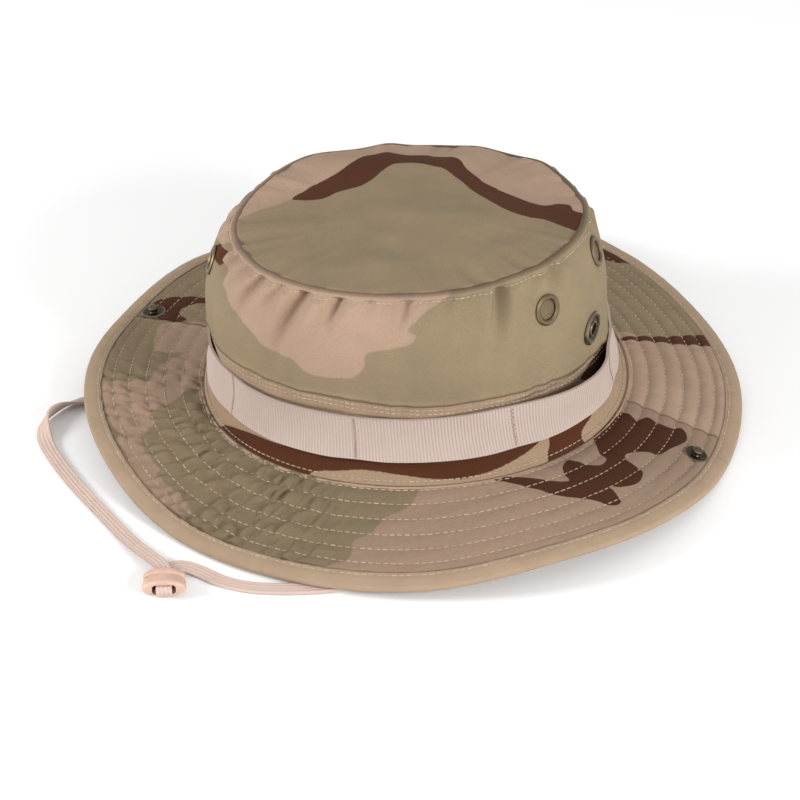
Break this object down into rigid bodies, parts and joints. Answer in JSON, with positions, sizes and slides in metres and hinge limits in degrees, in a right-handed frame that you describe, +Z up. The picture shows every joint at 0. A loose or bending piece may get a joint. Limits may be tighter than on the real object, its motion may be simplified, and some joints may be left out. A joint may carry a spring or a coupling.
{
  "type": "boonie hat",
  "caption": "Soft bucket-crowned sun hat with a wide stitched brim, looped webbing band, screened vents, snap-up brim sides and a chin cord with slider.",
  "frame": {"origin": "on the surface the hat lies on, under the middle of its outline, cord left out", "axes": "+Z up, the wearer's face towards -Y, the wearer's left towards +X"},
  "size_m": [0.2914, 0.3196, 0.103],
  "materials": {
    "crown_cloth": null,
    "brim_cloth": "matte cotton twill, printed, sewn in concentric rows",
    "binding_tape": "matte cotton tape",
    "interlining": "stiff woven interlining, hidden",
    "sweatband_cloth": "matte cotton",
    "label_cloth": "blank woven tab",
    "webbing": "ribbed webbing, slight sheen",
    "tack_thread": "dense satin stitch",
    "vent_screen": "fine antique wire mesh",
    "vent_metal": "antique brass, worn on the rim",
    "snap_metal": "dark gunmetal plate over brass",
    "cord_braid": "flat ribbed braid",
    "slider_plastic": "moulded acetal, satin"
  },
  "bodies": {
    "hat": {"brim_binding_back": "binding_tape", "brim_binding_front": "binding_tape", "brim_interlining_back": "interlining", "brim_interlining_front": "interlining", "brim_top_back": "brim_cloth", "brim_top_front": "brim_cloth", "brim_under_back": "brim_cloth", "brim_under_front": "brim_cloth", "chin_cord_fold": "cord_braid", "chin_cord_left": "cord_braid", "chin_cord_right": "cord_braid", "cord_anchor_left": "cord_braid", "cord_anchor_right": "cord_braid", "crown_side": "crown_cloth", "crown_top": "crown_cloth", "lower_band": "crown_cloth", "size_label": "label_cloth", "snap_socket_backing_left": "snap_metal", "snap_socket_backing_right": "snap_metal", "snap_socket_left": "snap_metal", "snap_socket_right": "snap_metal", "sweatband": "sweatband_cloth", "vent_eyelet_left_front": "vent_metal", "vent_eyelet_left_rear": "vent_metal", "vent_eyelet_right_front": "vent_metal", "vent_eyelet_right_rear": "vent_metal", "vent_screen_left_front": "vent_screen", "vent_screen_left_rear": "vent_screen", "vent_screen_right_front": "vent_screen", "vent_screen_right_rear": "vent_screen", "vent_washer_left_front": "vent_metal", "vent_washer_left_rear": "vent_metal", "vent_washer_right_front": "vent_metal", "vent_washer_right_rear": "vent_metal", "webbing_band": "webbing", "webbing_tacks": "tack_thread"},
    "left_flap": {"left_flap_binding_back": "binding_tape", "left_flap_binding_front": "binding_tape", "left_flap_interlining_back": "interlining", "left_flap_interlining_front": "interlining", "left_flap_top_back": "brim_cloth", "left_flap_top_front": "brim_cloth", "left_flap_under_back": "brim_cloth", "left_flap_under_front": "brim_cloth", "snap_stud_left": "snap_metal", "snap_stud_rivet_left": "snap_metal"},
    "right_flap": {"right_flap_binding_back": "binding_tape", "right_flap_binding_front": "binding_tape", "right_flap_interlining_back": "interlining", "right_flap_interlining_front": "interlining", "right_flap_top_back": "brim_cloth", "right_flap_top_front": "brim_cloth", "right_flap_under_back": "brim_cloth", "right_flap_under_front": "brim_cloth", "snap_stud_right": "snap_metal", "snap_stud_rivet_right": "snap_metal"},
    "slider": {"cord_slider": "slider_plastic"}
  },
  "joints": [
    {"name": "left_brim_fold", "type": "hinge", "parent": "hat", "child": "left_flap", "pos_m": [0.09597, 0, 0.02318], "axis": [0, -1, 0], "range_deg": [0, 122], "stiffness_Nm_per_rad": 0.02, "springref_deg": -68.75},
    {"name": "right_brim_fold", "type": "hinge", "parent": "hat", "child": "right_flap", "pos_m": [-0.09403, 0, 0.01868], "axis": [0, 1, 0], "range_deg": [0, 100], "stiffness_Nm_per_rad": 0.02, "springref_deg": -68.75},
    {"name": "slider_travel", "type": "slide", "parent": "hat", "child": "slider", "axis": [-0.4226, 0.9063, 0], "range_m": [0, 0.003]}
  ]
}
